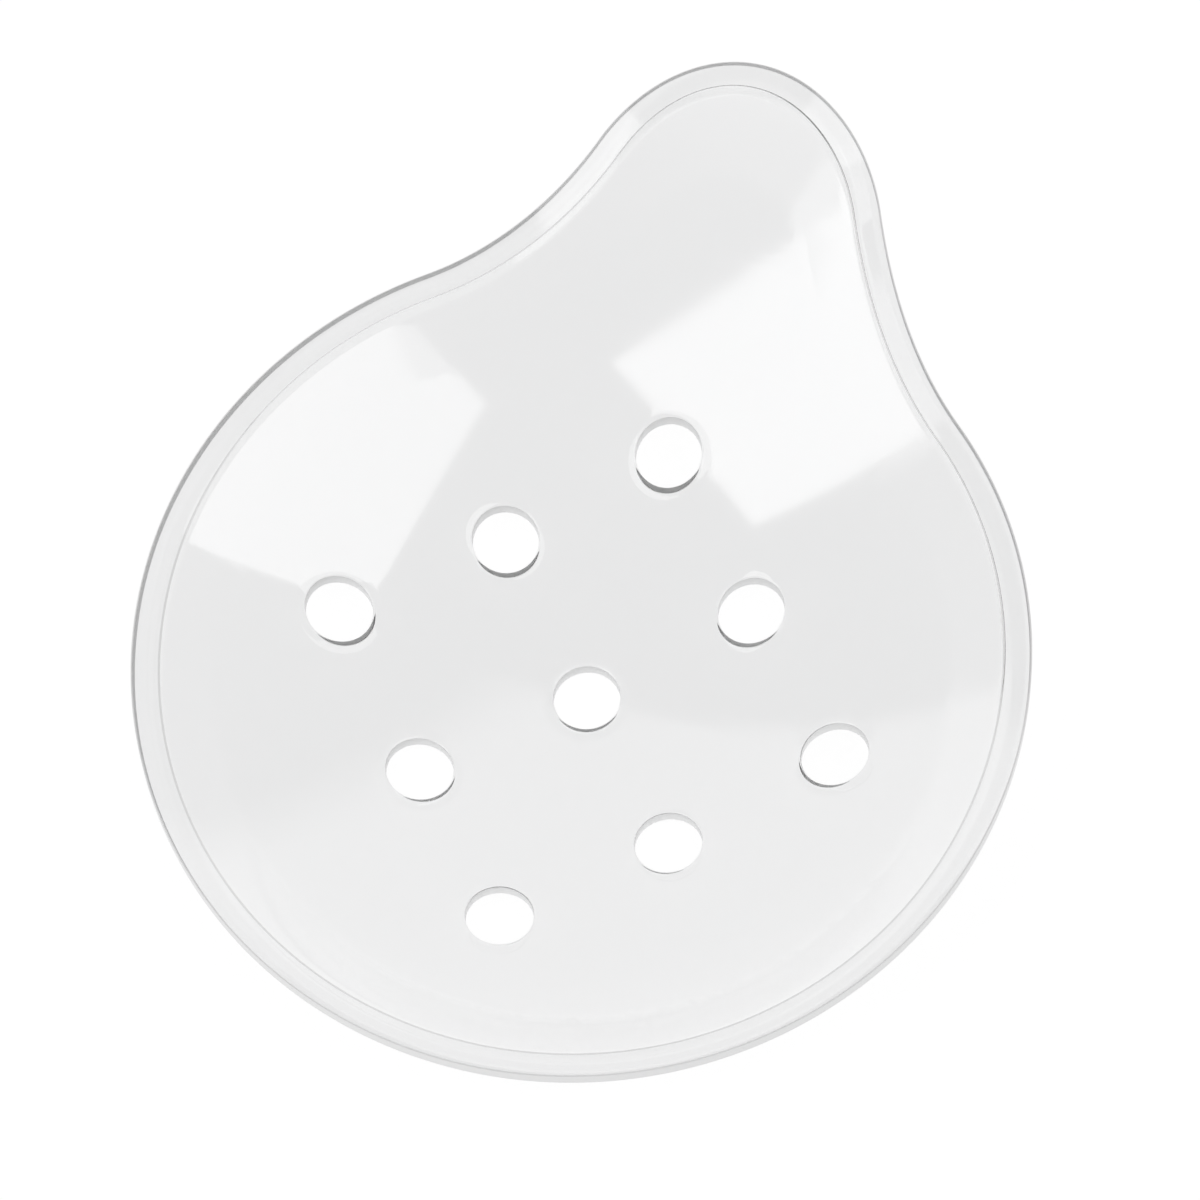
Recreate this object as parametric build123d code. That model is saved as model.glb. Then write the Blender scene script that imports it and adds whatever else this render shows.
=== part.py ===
from build123d import *
import os
from math import atan2, cos, degrees, hypot, radians, sin, sqrt

# Clear eye shield, lying on its back with the hollow side up, in millimetres.
# +Y runs along the shield towards its lobe, and +Z up out of the bowl.
# The origin is under the middle of the outline, at the height of the lowest point.

# Outline, seen from above: a round body, a smaller round lobe, and a hollow neck between them.
overall_length = 78.9
body_radius = 33.65
lobe_radius = 12.6
neck_radius = 41.0

# Bowl: an ellipse turned about an upright axis, which stands a little below the vents.
wall = 1.25
floor_radius = 69.0
bowl_reach = 54.0
axis_below_vents = 3.7
face_tolerance = 0.0005

# Angles, in degrees at the middle of the ellipse, where the bowl's faces have their points.
angles_across = range(-5, 45, 5)
angles_along = range(-40, 70, 5)

# Rim: a band that stands a step above the bowl and rises outwards to an upright edge.
rim_width = 2.15
step_height = 0.63
rim_rise = 0.8
edge_height = 1.25
face_overlap = 0.5
radius_tolerance = 0.01

# Skirt: the outermost part of the shield's back, straight out to a low step under the rim.
skirt_width = 6.0
back_step_inset = 2.45
back_step_height = 0.3

# Points along the outline that the faces of rim and skirt run through.
lobe_points = 6
neck_points = 4
body_points = 9

# Bevels: foot and lip of the step, and the two corners of the upright edge.
foot_bevel = 0.1
lip_bevel = 0.12
edge_bevel = 0.15

# Vent holes: a square grid, set corner to corner along the shield.
vents_above_body = 0.5
vent_pitch = 14.0
vents_per_side = 3
vents_turn = 45
vent_diameter = 5.1
vent_bevel = 0.2

body_y = body_radius - overall_length / 2
lobe_y = overall_length / 2 - lobe_radius
vents_y = body_y + vents_above_body
axis_y = vents_y - axis_below_vents
bowl_depth = bowl_reach**2 / floor_radius
tool_height = 60.0


def neck_centre():
    """The point whose arc touches both the body's circle and the lobe's circle."""
    to_body = body_radius + neck_radius
    to_lobe = lobe_radius + neck_radius
    apart = lobe_y - body_y
    along = (to_body**2 - to_lobe**2 + apart**2) / (2 * apart)
    return sqrt(to_body**2 - along**2), body_y + along


neck_x, neck_y = neck_centre()
body_turn = degrees(atan2(neck_y - body_y, neck_x))
lobe_turn = degrees(atan2(neck_y - lobe_y, neck_x))


def half_outline(inset):
    """The right half of the area inside the outline, drawn in by inset all round."""
    lobe = CenterArc((0, lobe_y), lobe_radius - inset, lobe_turn, 90 - lobe_turn)
    neck = CenterArc((neck_x, neck_y), neck_radius + inset, 180 + lobe_turn, body_turn - lobe_turn)
    body = CenterArc((0, body_y), body_radius - inset, body_turn, -90 - body_turn)
    middle = Line(lobe @ 1, body @ 1)
    return make_face(lobe + neck + body + middle)


def bowl_face(skin):
    """The bowl's inner face, or the one that lies skin below it, past the rim on all sides."""
    reach = bowl_reach + skin
    depth = bowl_depth + skin
    rows = []
    for across in map(radians, angles_across):
        row = []
        for along in map(radians, angles_along):
            x = reach * sin(across)
            y = axis_y + reach * cos(across) * sin(along)
            z = wall + bowl_depth - depth * cos(across) * cos(along)
            row.append(Vector(x, y, z))
        rows.append(row)
    return Face.make_surface_from_array_of_points(rows, tol=face_tolerance)


def bowl_height(x, y, skin=0.0):
    """Height of the bowl's inner face, or of the one that lies skin below it."""
    across = hypot(x, y - axis_y) / (bowl_reach + skin)
    return wall + bowl_depth - (bowl_depth + skin) * sqrt(1 - across**2)


def arc_points(centre_x, centre_y, radius, start, end, count):
    """Points along an arc from start up to, but not at, its end."""
    for i in range(count):
        angle = radians(start + (end - start) * i / count)
        yield centre_x + radius * cos(angle), centre_y + radius * sin(angle)


def outline_points(inset):
    """Points down the right side of the outline, drawn in by inset, from lobe to bottom."""
    yield from arc_points(0, lobe_y, lobe_radius - inset, 90, lobe_turn, lobe_points)
    yield from arc_points(
        neck_x, neck_y, neck_radius + inset, 180 + lobe_turn, 180 + body_turn, neck_points
    )
    yield from arc_points(0, body_y, body_radius - inset, body_turn, -90, body_points)
    yield 0, body_y - body_radius + inset


def edge_heights():
    """Heights of the top of the upright edge, for each point of the outline."""
    rise = step_height + rim_rise
    return [bowl_height(x, y) + rise for x, y in outline_points(rim_width)]


def ruled_face(inner, outer):
    """A face of straight lines from inner to outer, each an inset and the heights along it."""
    middle = [Vector(x, y) for x, y in outline_points(rim_width)]
    steps = [(b - a).length for a, b in zip(middle, middle[1:])]
    along = [sum(steps[:i]) for i in range(len(middle))]
    edges = []
    for inset, heights in (inner, outer):
        points = [Vector(x, y, z) for (x, y), z in zip(outline_points(inset), heights)]
        edges.append(Edge.make_spline(points, parameters=along))
    return Face.make_surface_from_curves(*edges)


def slanted(top, slopes, inset):
    """An inset and the heights there, for lines that fall inwards from top by slopes."""
    return inset, [height - slope * inset for height, slope in zip(top, slopes)]


def rim_face():
    """The rim's top, past both of its edges."""
    top = edge_heights()
    slopes = [rim_rise / rim_width] * len(top)
    inner = slanted(top, slopes, rim_width + face_overlap)
    return ruled_face(inner, slanted(top, slopes, -face_overlap))


def skirt_face():
    """The skirt, carried on past the upright edge and under the bowl's back."""
    foot = [height - edge_height - back_step_height for height in edge_heights()]
    back = [bowl_height(x, y, wall) for x, y in outline_points(skirt_width)]
    slopes = [(outer - inner) / skirt_width for outer, inner in zip(foot, back)]
    inner = slanted(foot, slopes, skirt_width + face_overlap)
    return ruled_face(inner, slanted(foot, slopes, -face_overlap))


def wall_edges(shape, inset, end):
    """The lowest (0) or highest (-1) edges of the upright walls that follow the outline at inset."""
    radii = body_radius - inset, lobe_radius - inset, neck_radius + inset
    chosen = []
    for wall in shape.faces().filter_by(GeomType.CYLINDER):
        if min(abs(wall.radius - radius) for radius in radii) < radius_tolerance:
            level_edges = wall.edges().filter_by(GeomType.LINE, reverse=True)
            chosen.append(level_edges.sort_by(Axis.Z)[end])
    return chosen


def half_blank():
    """The right half of the shield without its vents, with bevelled edges."""
    inside = extrude(half_outline(rim_width), tool_height)
    hollow = extrude(bowl_face(0), tool_height, (0, 0, 1)) & inside
    above_rim = extrude(rim_face(), tool_height, (0, 0, 1)) - inside
    shape = extrude(bowl_face(wall), tool_height, (0, 0, 1)) & extrude(half_outline(0), tool_height)
    below_skirt = extrude(skirt_face(), tool_height, (0, 0, -1))
    below_rim = Pos(0, 0, back_step_height) * below_skirt
    below_rim = below_rim - extrude(half_outline(back_step_inset), tool_height)
    shape = shape - below_skirt - below_rim - hollow - above_rim
    for inset, end, bevel in (
        (rim_width, 0, foot_bevel),
        (rim_width, -1, lip_bevel),
        (0, -1, edge_bevel),
        (0, 0, edge_bevel),
    ):
        shape = chamfer(wall_edges(shape, inset, end), bevel)
    return shape


def cut_vents(shape):
    """Cuts the vent holes and bevels their mouths."""
    hole = Cylinder(vent_diameter / 2, tool_height)
    grid = GridLocations(vent_pitch, vent_pitch, vents_per_side, vents_per_side)
    turned = Pos(0, vents_y, 0) * Rot(0, 0, vents_turn)
    vented = shape - [turned * place * hole for place in grid]
    cut_edges = (vented.edges() - shape.edges()).filter_by(GeomType.LINE, reverse=True)
    mouths = cut_edges.filter_by(lambda edge: (edge @ 0.5).X > vent_bevel)
    return chamfer(mouths, vent_bevel)


os.makedirs("parts", exist_ok=True)
half = cut_vents(half_blank())
shell = half + mirror(half, Plane.YZ)
export_step(shell, "parts/shield_shell.step")
print("size", shell.bounding_box().size, "volume", round(shell.volume))
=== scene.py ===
import math
import bmesh
import bpy
from mathutils import Euler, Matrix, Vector


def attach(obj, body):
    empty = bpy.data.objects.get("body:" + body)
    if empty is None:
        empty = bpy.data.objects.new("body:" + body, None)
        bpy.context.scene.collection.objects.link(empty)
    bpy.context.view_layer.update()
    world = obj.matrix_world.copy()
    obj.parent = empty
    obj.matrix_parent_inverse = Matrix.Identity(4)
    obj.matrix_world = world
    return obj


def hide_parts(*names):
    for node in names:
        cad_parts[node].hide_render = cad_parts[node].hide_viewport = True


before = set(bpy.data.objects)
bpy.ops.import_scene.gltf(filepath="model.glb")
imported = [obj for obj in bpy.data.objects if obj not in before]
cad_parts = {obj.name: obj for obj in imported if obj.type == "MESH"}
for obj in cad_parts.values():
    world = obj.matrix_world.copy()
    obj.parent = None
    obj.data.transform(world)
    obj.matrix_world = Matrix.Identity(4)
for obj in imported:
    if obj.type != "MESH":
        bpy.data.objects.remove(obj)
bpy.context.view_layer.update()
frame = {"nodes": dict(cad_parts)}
print("frame loaded:", ", ".join(frame["nodes"]))

mm = 0.001

# the moulded shell, in millimetres, turned to metres once it is shaped
shell = {
    "length": 78.9,
    "bodyRadius": 33.65,
    "lobeRadius": 12.6,
    "neckRadius": 41.0,
    "wall": 1.25,
    "floorRadius": 69.0,    # of the bowl at its lowest point
    "reach": 54.0,          # half the width of the whole ellipse that the bowl is cut from
    "axisBelowVents": 3.7,
    "rimWidth": 2.15,
    "edgeTop": 1.39,        # of the rim's outer edge above the foot of the step
    "footStep": 0.63,       # height of the step at the body's foot
    "stepHeight": 0.98,     # and further up the body
    "stepFrom": -18.0,      # where along the shield it starts and ends to change
    "stepTo": -4.0,
    "lobeStep": 1.12,       # its height at the lobe
    "lobeStepFrom": 4.0,
    "lobeStepTo": 14.0,
    "edgeHeight": 1.25,     # of the upright edge up to the shield's middle
    "lobeEdgeHeight": 0.7,  # it grows thinner from there to the lobe's tip
    "beadWidth": 0.17,      # the lip stands a little above the rim on the upper half
    "beadHeight": 0.26,
    "beadFrom": -3.0,       # where along the shield the lip starts and ends to rise
    "beadTo": 8.0,
    "skirtWidth": 6.0,      # outermost part of the back, straight out to the foot of the edge
    "skirtLoops": 6,
    "bodySteps": 110,       # points along each half of the body's arc
    "neckSteps": 34,
    "lobeSteps": 80,
    "collar": 0.8,          # clean strip left round each vent
    "cell": 1.0,            # size of the bowl's grid
    "firstCut": 0.43,       # place of its first cut, in cells, clear of the middle line
    "snap": 0.01,           # a cut this near to a point goes through it
    "merge": 0.0001,        # points this near to each other become one
}
vents = {
    "diameter": 5.1,
    "pitch": 14.0,
    "perSide": 3,
    "aboveBody": 0.5,       # of the grid's middle above the body's
    "points": 56,
    "bevel": 0.16,
    "bevelSegments": 3,
}
rounds = {"foot": 0.15, "lip": 0.05, "bead": 0.05, "top": 0.12, "low": 0.1, "segments": 4}
# what the faces tell the material, the same all round from whichever side they are seen: milk, painted
# shade and a painted glow
shading = {
    "milk": 1.0,            # on the trimmed edge and in the vents' walls
    "lipShade": 0.6,        # share of the painted shade, a darker tint, on the lip: it stands in for the dark line that the step's corner shows
    "edgeShade": 0.73,      # and of painted shade on the trimmed edge
    # strength of the painted glow on the trimmed edge
    "paintedEdgeGlow": 0.28,
    "steepest": 0.5,        # a wall's faces look up or down by less than this
    "facingUp": 0.1,        # and the lip's faces look up by more than this
}

bodyY = shell["bodyRadius"] - shell["length"] / 2
lobeY = shell["length"] / 2 - shell["lobeRadius"]
ventsY = bodyY + vents["aboveBody"]
axisY = ventsY - shell["axisBelowVents"]

# middle of the neck's arc, which touches the body's and the lobe's
toBody = shell["bodyRadius"] + shell["neckRadius"]
toLobe = shell["lobeRadius"] + shell["neckRadius"]
between = lobeY - bodyY
alongNeck = (toBody**2 - toLobe**2 + between**2) / (2 * between)
neckX = math.sqrt(toBody**2 - alongNeck**2)
neckY = bodyY + alongNeck
bodyTurn = math.atan2(neckY - bodyY, neckX)
lobeTurn = math.atan2(neckY - lobeY, neckX)


def bowlHeight(x, y, skin=0.0):
    # the bowl's inner face, or with skin its outer one
    reach = shell["reach"] + skin
    depth = shell["reach"]**2 / shell["floorRadius"] + skin
    away = math.hypot(x, y - axisY) / reach
    return shell["wall"] - skin + depth * (1 - math.sqrt(1 - away * away))


def outward(co):
    # level direction from the outline's area to its outside, at any inset
    side = 1 if co.x >= 0 else -1
    fromBody = Vector((co.x, co.y - bodyY, 0))
    fromLobe = Vector((co.x, co.y - lobeY, 0))
    if math.atan2(fromBody.y, abs(fromBody.x)) < bodyTurn:
        return fromBody.normalized()
    if math.atan2(fromLobe.y, abs(fromLobe.x)) > lobeTurn:
        return fromLobe.normalized()
    return (Vector((side * neckX, neckY, 0)) - Vector((co.x, co.y, 0))).normalized()


def insetOf(co):
    # how far inside the outline a point lies
    fromBody = math.hypot(co.x, co.y - bodyY)
    fromLobe = math.hypot(co.x, co.y - lobeY)
    if math.atan2(co.y - bodyY, abs(co.x)) < bodyTurn:
        return shell["bodyRadius"] - fromBody
    if math.atan2(co.y - lobeY, abs(co.x)) > lobeTurn:
        return shell["lobeRadius"] - fromLobe
    return math.hypot(abs(co.x) - neckX, co.y - neckY) - shell["neckRadius"]


def fade(value, start, end):
    # 0 before start, 1 after end, with soft ends
    share = min(1, max(0, (value - start) / (end - start)))
    return share * share * (3 - 2 * share)


def stepHeight(co):
    upBody = fade(co.y, shell["stepFrom"], shell["stepTo"])
    atLobe = fade(co.y, shell["lobeStepFrom"], shell["lobeStepTo"])
    middle = (shell["stepHeight"] - shell["footStep"]) * upBody
    lobe = (shell["lobeStep"] - shell["stepHeight"]) * atLobe
    return shell["footStep"] + middle + lobe


def edgeHeight(co):
    share = min(1, max(0, co.y / (shell["length"] / 2)))
    return shell["edgeHeight"] + (shell["lobeEdgeHeight"] - shell["edgeHeight"]) * share


def skirtHeight(co, inset):
    # straight from the foot of the upright edge to the bowl's back
    atStep = co + outward(co) * (inset - shell["rimWidth"])
    atBack = co - outward(co) * (shell["skirtWidth"] - inset)
    foot = bowlHeight(atStep.x, atStep.y) + shell["edgeTop"] - edgeHeight(co)
    back = bowlHeight(atBack.x, atBack.y, shell["wall"])
    return foot + (back - foot) * inset / shell["skirtWidth"]


def outlineLoop(bm, inset):
    # one point at the body's foot, spun up one side, round the lobe and down the other
    arcs = (
        ((0, bodyY), math.pi / 2 + bodyTurn, shell["bodySteps"]),
        ((neckX, neckY), lobeTurn - bodyTurn, shell["neckSteps"]),
        ((0, lobeY), math.pi - 2 * lobeTurn, shell["lobeSteps"]),
        ((-neckX, neckY), lobeTurn - bodyTurn, shell["neckSteps"]),
        ((0, bodyY), math.pi / 2 + bodyTurn, shell["bodySteps"]),
    )
    before = set(bm.edges)
    first = bm.verts.new((0, bodyY - shell["bodyRadius"] + inset, 0))
    last = first
    for (x, y), angle, steps in arcs:
        spun = bmesh.ops.spin(bm, geom=[last], cent=(x, y, 0), axis=(0, 0, 1), angle=angle,
                              steps=steps, use_duplicate=False)
        last = [g for g in spun["geom_last"] if isinstance(g, bmesh.types.BMVert)][0]
    bmesh.ops.weld_verts(bm, targetmap={last: first})
    return [e for e in bm.edges if e not in before]


def ventLoop(bm, centre, radius):
    before = set(bm.edges)
    made = bmesh.ops.create_circle(bm, cap_ends=False, radius=radius, segments=vents["points"])
    bmesh.ops.translate(bm, verts=made["verts"], vec=centre)
    return [e for e in bm.edges if e not in before]


def flatSheet(bm):
    # the area inside the step, with its holes, as a clean grid
    skirt = []
    underBowl = shell["skirtWidth"] - shell["rimWidth"]
    for i in range(shell["skirtLoops"] + 1):
        inset = shell["rimWidth"] + underBowl * i / shell["skirtLoops"]
        skirt.append((inset, outlineLoop(bm, inset)))
    for (_, outer), (_, inner) in zip(skirt, skirt[1:]):
        bmesh.ops.bridge_loops(bm, edges=outer + inner)
    border = list(skirt[-1][1])
    mouths = []
    half = vents["pitch"] * math.sqrt(0.5)
    for row in range(vents["perSide"]):
        for column in range(vents["perSide"]):
            up = row + column + 1 - vents["perSide"]
            centre = Vector(((row - column) * half, ventsY + up * half, 0))
            mouth = ventLoop(bm, centre, vents["diameter"] / 2)
            ring = ventLoop(bm, centre, vents["diameter"] / 2 + shell["collar"])
            bmesh.ops.bridge_loops(bm, edges=mouth + ring)
            border += ring
            mouths.append(mouth)
    filled = bmesh.ops.triangle_fill(bm, use_beauty=True, use_dissolve=False, edges=border,
                                     normal=(0, 0, 1))
    faces = [g for g in filled["geom"] if isinstance(g, bmesh.types.BMFace)]
    return skirt, mouths, faces


def isSlanting(edge):
    first, last = (v.co for v in edge.verts)
    slant = 0.0005      # an edge off by less than this is the grid's own
    return abs(first.x - last.x) > slant and abs(first.y - last.y) > slant


def cutGrid(bm, faces):
    # cut into square cells, then the first triangles' own edges go
    spoke = bm.edges.layers.int["spoke"]
    faceSet = set(faces)
    edges = {e for f in faces for e in f.edges}
    for edge in edges:
        if all(f in faceSet for f in edge.link_faces):
            edge[spoke] = 1
    geom = faces + list(edges) + list({v for f in faces for v in f.verts})
    cell = shell["cell"]
    across, along = Vector((1, 0, 0)), Vector((0, 1, 0))
    for axis, half in ((across, shell["bodyRadius"]), (along, shell["length"] / 2)):
        for i in range(int(2 * half / cell) + 1):
            at = axis * (-half + (i + shell["firstCut"]) * cell)
            cut = bmesh.ops.bisect_plane(bm, geom=geom, dist=shell["snap"], plane_co=at, plane_no=axis)
            geom = cut["geom"]
    spokes = [e for e in bm.edges if e[spoke] == 1 and isSlanting(e)]
    bmesh.ops.dissolve_edges(bm, edges=spokes, use_verts=True)


def pushLoop(bm, edges, out, up):
    # a new loop beside an open one, further out, and up by a height for each point
    made = bmesh.ops.extrude_edge_only(bm, edges=edges)["geom"]
    verts = [g for g in made if isinstance(g, bmesh.types.BMVert)]
    fresh = set(verts)
    for vert in verts:
        vert.co.z += up(vert.co)
        vert.co += outward(vert.co) * out
    return [e for e in {e for v in verts for e in v.link_edges} if all(v in fresh for v in e.verts)]


def roundEdges(bm, edges, radius, segments):
    bmesh.ops.bevel(bm, geom=edges, offset=radius, offset_type="OFFSET", segments=segments,
                    profile=0.5, affect="EDGES", clamp_overlap=False, material=-1)


def markFaces(bm):
    # the trimmed edge, the vents' walls and the lip, for the material to tell apart; the lip and the
    # trimmed edge get painted shade, and the trimmed edge a painted glow as well
    milky = bm.faces.layers.float["milkyFace"]
    shaded = bm.faces.layers.float["paintedShade"]
    glowing = bm.faces.layers.float["paintedEdgeGlow"]
    lipFrom = shell["rimWidth"] - shell["beadWidth"]
    for face in bm.faces:
        inset = insetOf(face.calc_center_median())
        if inset < rounds["top"]:
            face[milky] = shading["milk"]
            face[shaded] = shading["edgeShade"]
            face[glowing] = shading["paintedEdgeGlow"]
        elif inset > shell["skirtWidth"] and abs(face.normal.z) < shading["steepest"]:
            face[milky] = shading["milk"]
        elif lipFrom < inset < shell["rimWidth"] and face.normal.z > shading["facingUp"]:
            face[shaded] = shading["lipShade"]


def sortByPlace(bm):
    # sets and mesh operators order points and faces anew on each run, so one order is made here
    for i, vert in enumerate(sorted(bm.verts, key=lambda v: tuple(v.co))):
        vert.index = i
    bm.verts.sort()
    for i, face in enumerate(sorted(bm.faces, key=lambda f: sorted(v.index for v in f.verts))):
        face.index = i
    bm.faces.sort()


def shapeShell():
    bm = bmesh.new()
    bm.edges.layers.int.new("spoke")
    for name in ("milkyFace", "paintedShade", "paintedEdgeGlow"):
        bm.faces.layers.float.new(name)
    skirt, mouths, faces = flatSheet(bm)
    cutGrid(bm, faces)
    sheetVerts = bm.verts[:]
    copied = bmesh.ops.duplicate(bm, geom=bm.verts[:] + bm.edges[:] + bm.faces[:])
    twin = copied["edge_map"]
    innerVerts = [g for g in copied["geom"] if isinstance(g, bmesh.types.BMVert)]
    for vert in sheetVerts:
        vert.co.z = bowlHeight(vert.co.x, vert.co.y, shell["wall"])
    for vert in innerVerts:
        vert.co.z = bowlHeight(vert.co.x, vert.co.y)
    for inset, loop in skirt:
        for vert in {v for e in loop for v in e.verts}:
            vert.co.z = skirtHeight(vert.co, inset)
    print("bowl's two faces shaped:", len(bm.faces), "faces")

    innerMouths = []
    for mouth in mouths:
        top = [twin[e] for e in mouth]
        bmesh.ops.bridge_loops(bm, edges=mouth + top)
        innerMouths.append(top)

    # the step, the rim and its edge, as loops pushed on from the bowl's inner face
    outerFoot = skirt[0][1]
    innerFoot = [twin[e] for e in outerFoot]
    beadShare = shell["beadWidth"] / shell["rimWidth"]
    lip = pushLoop(bm, innerFoot, 0, stepHeight)
    bead = pushLoop(bm, lip, shell["beadWidth"],
                    lambda co: (shell["edgeTop"] - stepHeight(co)) * beadShare)
    top = pushLoop(bm, bead, shell["rimWidth"] - shell["beadWidth"],
                   lambda co: (shell["edgeTop"] - stepHeight(co)) * (1 - beadShare))
    low = pushLoop(bm, top, 0, lambda co: -edgeHeight(co))
    bmesh.ops.bridge_loops(bm, edges=low + outerFoot)
    for vert in {v for e in lip for v in e.verts}:
        vert.co.z += shell["beadHeight"] * fade(vert.co.y, shell["beadFrom"], shell["beadTo"])

    bmesh.ops.remove_doubles(bm, verts=bm.verts[:], dist=shell["merge"])
    bmesh.ops.recalc_face_normals(bm, faces=bm.faces[:])
    corners = {"foot": innerFoot, "lip": lip, "bead": bead, "top": top, "low": low}
    for name, edges in corners.items():
        roundEdges(bm, edges, rounds[name], rounds["segments"])
    for edges in mouths + innerMouths:
        roundEdges(bm, edges, vents["bevel"], vents["bevelSegments"])
    markFaces(bm)
    sortByPlace(bm)
    bmesh.ops.scale(bm, vec=(mm, mm, mm), verts=bm.verts[:])
    openEdges = [e for e in bm.edges if len(e.link_faces) != 2]
    print("step, rim and vents shaped:", len(bm.faces), "faces,", len(openEdges), "open edges")

    mesh = bpy.data.meshes.new("clearShell")
    bm.to_mesh(mesh)
    bm.free()
    for polygon in mesh.polygons:
        polygon.use_smooth = True
    piece = bpy.data.objects.new("clearShell", mesh)
    bpy.context.scene.collection.objects.link(piece)
    weighted = piece.modifiers.new("evenShading", "WEIGHTED_NORMAL")
    weighted.keep_sharp = False
    return piece


clearPlastic = {
    # a grey see-through tint that is painted shade: it stands in for the shadow that the shell casts
    # on the floor beneath it
    "tint": (0.886, 0.887, 0.889),
    "paintedShadeColour": 0.36,       # painted shade, mixed in on the lip of the step and on the trimmed edge
    "ior": 1.585,
    "roughLow": 0.03,
    "roughHigh": 0.11,
    "edgeRough": 0.5,       # the trimmed edge and the vents' walls are finely matt
    "edgeMilk": 1.0,        # and scatter this share of the light
    "waveSize": 0.03,       # in metres, of the moulding's slow waves
    "waveHeight": 0.00002,
    "waveDetail": 1.0,
    "waveLow": 0.35,        # part of the waves' range that the roughness follows
    "waveHigh": 0.75,
}


def faceValue(nodes, name):
    # a value that markFaces has given to each face
    value = nodes.new("ShaderNodeAttribute")
    value.attribute_name = name
    return value.outputs["Fac"]


def clearMaterial():
    material = bpy.data.materials.new("polishedClearPlastic")
    material.use_nodes = True
    nodes, links = material.node_tree.nodes, material.node_tree.links
    shader = nodes["Principled BSDF"]
    shader.inputs["IOR"].default_value = clearPlastic["ior"]
    place = nodes.new("ShaderNodeTexCoord")
    waves = nodes.new("ShaderNodeTexNoise")
    waves.inputs["Scale"].default_value = 1 / clearPlastic["waveSize"]
    waves.inputs["Detail"].default_value = clearPlastic["waveDetail"]
    links.new(place.outputs["Object"], waves.inputs["Vector"])
    rough = nodes.new("ShaderNodeMapRange")
    rough.inputs["From Min"].default_value = clearPlastic["waveLow"]
    rough.inputs["From Max"].default_value = clearPlastic["waveHigh"]
    rough.inputs["To Min"].default_value = clearPlastic["roughLow"]
    rough.inputs["To Max"].default_value = clearPlastic["roughHigh"]
    links.new(waves.outputs["Fac"], rough.inputs["Value"])

    milky = faceValue(nodes, "milkyFace")
    matt = nodes.new("ShaderNodeMath")
    matt.operation = "MULTIPLY_ADD"
    matt.inputs[1].default_value = clearPlastic["edgeRough"]
    links.new(milky, matt.inputs[0])
    links.new(rough.outputs["Result"], matt.inputs[2])
    links.new(matt.outputs["Value"], shader.inputs["Roughness"])
    clear = nodes.new("ShaderNodeMapRange")
    clear.inputs["To Min"].default_value = 1.0
    clear.inputs["To Max"].default_value = 1.0 - clearPlastic["edgeMilk"]
    links.new(milky, clear.inputs["Value"])
    links.new(clear.outputs["Result"], shader.inputs["Transmission Weight"])

    # a colour mix has its factor at 0, its colours at 6 and 7, and its result at 2
    # the base colour: the see-through tint, with painted shade mixed in on the lip and the trimmed
    # edge
    tint = nodes.new("ShaderNodeMix")
    tint.data_type = "RGBA"
    tint.inputs[6].default_value = (*clearPlastic["tint"], 1)
    tint.inputs[7].default_value = (clearPlastic["paintedShadeColour"],) * 3 + (1,)
    links.new(faceValue(nodes, "paintedShade"), tint.inputs[0])
    links.new(tint.outputs[2], shader.inputs["Base Color"])

    # painted glow: the trimmed edge gives off light, standing in for light that the plastic leads to
    # its edge
    shader.inputs["Emission Color"].default_value = (1, 1, 1, 1)
    links.new(faceValue(nodes, "paintedEdgeGlow"), shader.inputs["Emission Strength"])

    bump = nodes.new("ShaderNodeBump")
    bump.inputs["Strength"].default_value = 1.0
    bump.inputs["Distance"].default_value = clearPlastic["waveHeight"]
    links.new(waves.outputs["Fac"], bump.inputs["Height"])
    links.new(bump.outputs["Normal"], shader.inputs["Normal"])
    return material


clearShell = shapeShell()
clearShell.data.materials.append(clearMaterial())
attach(clearShell, "root")
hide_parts("shield_shell")
print("shell finished")

# white studio floor, lit so far that it has no tone left
floorLook = {"size": 3.0, "glow": 0.94, "colour": (0.12, 0.12, 0.12)}


def makeFloor():
    bm = bmesh.new()
    bmesh.ops.create_grid(bm, x_segments=1, y_segments=1, size=floorLook["size"] / 2)
    mesh = bpy.data.meshes.new("studioFloor")
    bm.to_mesh(mesh)
    bm.free()
    floor = bpy.data.objects.new("studioFloor", mesh)
    bpy.context.scene.collection.objects.link(floor)
    material = bpy.data.materials.new("whiteFloor")
    material.use_nodes = True
    shader = material.node_tree.nodes["Principled BSDF"]
    shader.inputs["Base Color"].default_value = (*floorLook["colour"], 1)
    shader.inputs["Roughness"].default_value = 1.0
    shader.inputs["Specular IOR Level"].default_value = 0.0
    shader.inputs["Emission Color"].default_value = (1, 1, 1, 1)
    shader.inputs["Emission Strength"].default_value = floorLook["glow"]
    mesh.materials.append(material)


makeFloor()
print("floor laid")

# camera angles in degrees, distances in millimetres, and the nearest and farthest it sees in metres
cameraLook = {
    "turn": 23.157,
    "tip": 26.56,
    "roll": -4.734,
    "aim": (0.0, -5.3, 1.349),
    "away": (1.0005, 7.392, 490.3),
    "lens": 193.9,
    "sensor": 36.0,
    "nearest": 0.01,
    "farthest": 20.0,
}


def makeCamera():
    data = bpy.data.cameras.new("studioCamera")
    data.lens = cameraLook["lens"]
    data.sensor_width = cameraLook["sensor"]
    data.clip_start = cameraLook["nearest"]
    data.clip_end = cameraLook["farthest"]
    camera = bpy.data.objects.new("studioCamera", data)
    bpy.context.scene.collection.objects.link(camera)
    turn = Euler((0, 0, math.radians(cameraLook["turn"]))).to_matrix()
    tip = Euler((math.radians(cameraLook["tip"]), 0, 0)).to_matrix()
    roll = Euler((0, 0, math.radians(cameraLook["roll"]))).to_matrix()
    look = turn @ tip @ roll
    camera.matrix_world = look.to_4x4()
    camera.location = (Vector(cameraLook["aim"]) + look @ Vector(cameraLook["away"])) * mm
    bpy.context.scene.camera = camera


makeCamera()

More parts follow.
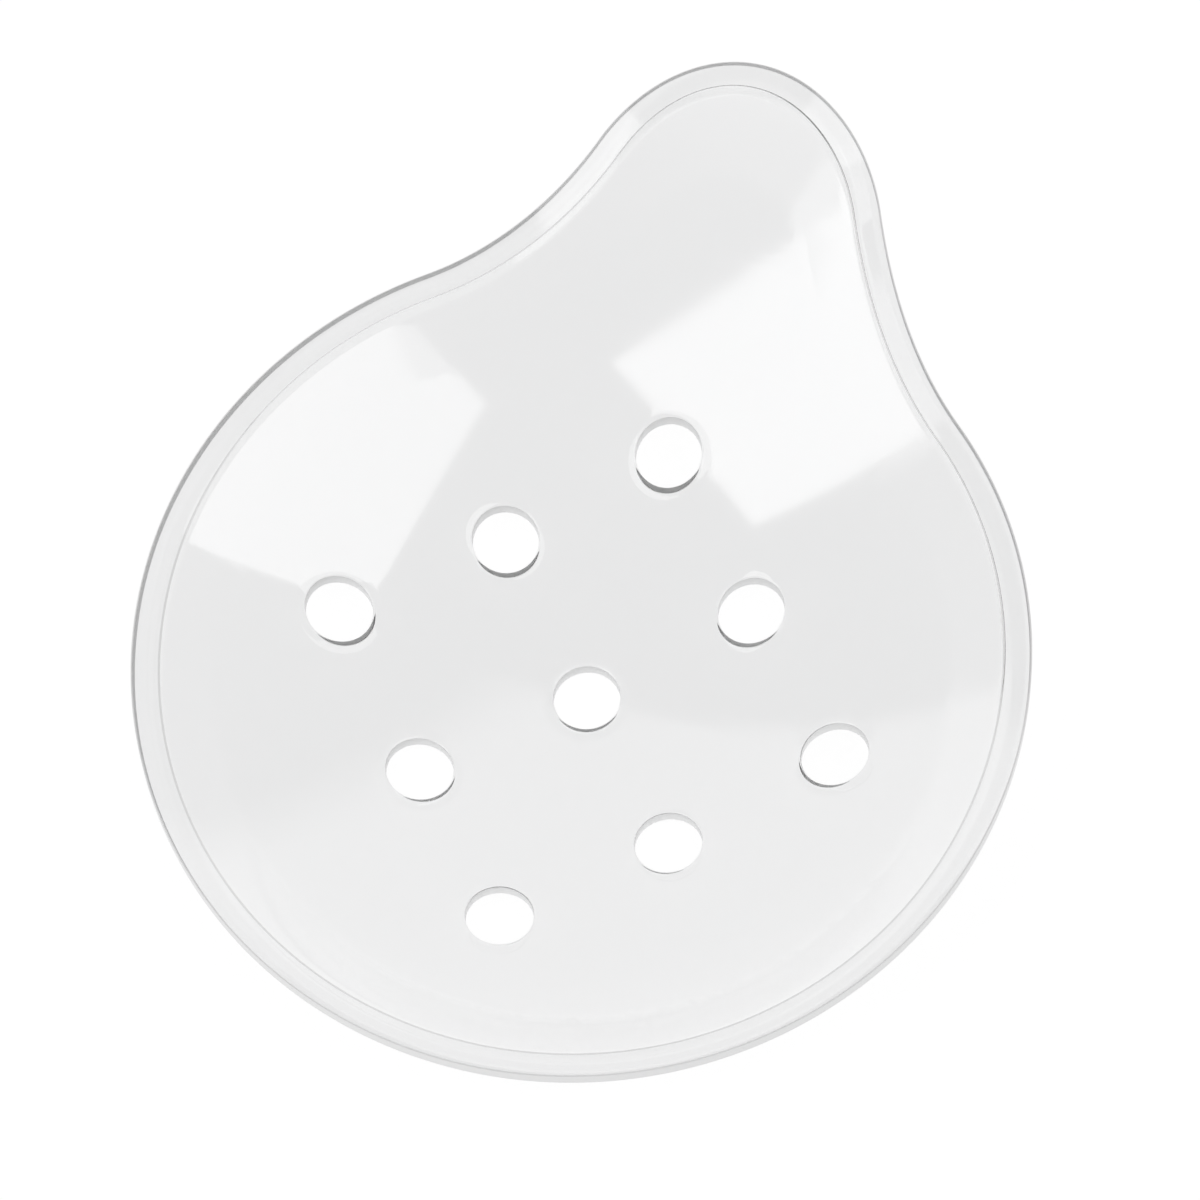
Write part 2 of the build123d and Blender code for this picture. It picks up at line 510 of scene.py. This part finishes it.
# soft boxes: middle, width and height in metres, turn in degrees, and how bright they look
softBoxes = {
    "rightBox": {
        "at": (0.44, -0.033, 0.751),
        "turn": (-9.4, 68.8, -13.8),
        "size": (0.8, 0.597),
        "bright": 1.36,
    },
    "leftBox": {
        "at": (-0.451, -0.459, 0.61),
        "turn": (-28.5, 45.6, -140.7),
        "size": (0.9, 0.506),
        "bright": 1.68,
    },
}
# the room: bright low down, and a wide pale wall behind the shield, with a front and a side edge
world = {
    "horizon": 0.85,
    "zenith": 0.12,
    "zenithFrom": 0.6,      # height on a ball of 1 round the shield
    "wall": 0.57,
    "front": (0.0, 1.0, -0.31),     # each edge's direction into the wall, and how soft it is
    "frontSoft": 0.04,
    "side": (-1.85, 1.0, -0.2),
    "sideSoft": 0.35,
}


def makeLights():
    for name, box in softBoxes.items():
        light = bpy.data.lights.new(name, "AREA")
        light.shape = "RECTANGLE"
        light.size, light.size_y = box["size"]
        light.energy = box["bright"] * math.pi * light.size * light.size_y
        lamp = bpy.data.objects.new(name, light)
        bpy.context.scene.collection.objects.link(lamp)
        lamp.location = box["at"]
        lamp.rotation_euler = [math.radians(a) for a in box["turn"]]


def makeRoom():
    studio = bpy.data.worlds.new("studio")
    bpy.context.scene.world = studio
    studio.use_nodes = True
    nodes, links = studio.node_tree.nodes, studio.node_tree.links
    place = nodes.new("ShaderNodeTexCoord")
    split = nodes.new("ShaderNodeSeparateXYZ")
    links.new(place.outputs["Generated"], split.inputs["Vector"])
    sky = nodes.new("ShaderNodeMapRange")
    sky.interpolation_type = "SMOOTHSTEP"
    sky.inputs["From Max"].default_value = world["zenithFrom"]
    sky.inputs["To Min"].default_value = world["horizon"]
    sky.inputs["To Max"].default_value = world["zenith"]
    links.new(split.outputs["Z"], sky.inputs["Value"])

    # the wall is where both edges let it through, and its light is added to the sky's
    wall = None
    for edge in ("front", "side"):
        beyond = nodes.new("ShaderNodeVectorMath")
        beyond.operation = "DOT_PRODUCT"
        beyond.inputs[1].default_value = world[edge]
        links.new(place.outputs["Generated"], beyond.inputs[0])
        ramp = nodes.new("ShaderNodeMapRange")
        ramp.interpolation_type = "SMOOTHSTEP"
        ramp.inputs["From Max"].default_value = world[edge + "Soft"]
        ramp.inputs["To Max"].default_value = world["wall"]
        links.new(beyond.outputs["Value"], ramp.inputs["Value"])
        if wall:
            links.new(wall.outputs["Result"], ramp.inputs["To Max"])
        wall = ramp
    both = nodes.new("ShaderNodeMath")
    links.new(sky.outputs["Result"], both.inputs[0])
    links.new(wall.outputs["Result"], both.inputs[1])
    links.new(both.outputs["Value"], nodes["Background"].inputs["Strength"])
    nodes["Background"].inputs["Color"].default_value = (1, 1, 1, 1)


makeLights()
makeRoom()
bpy.context.scene.view_settings.view_transform = "Standard"
print("camera and lights set")
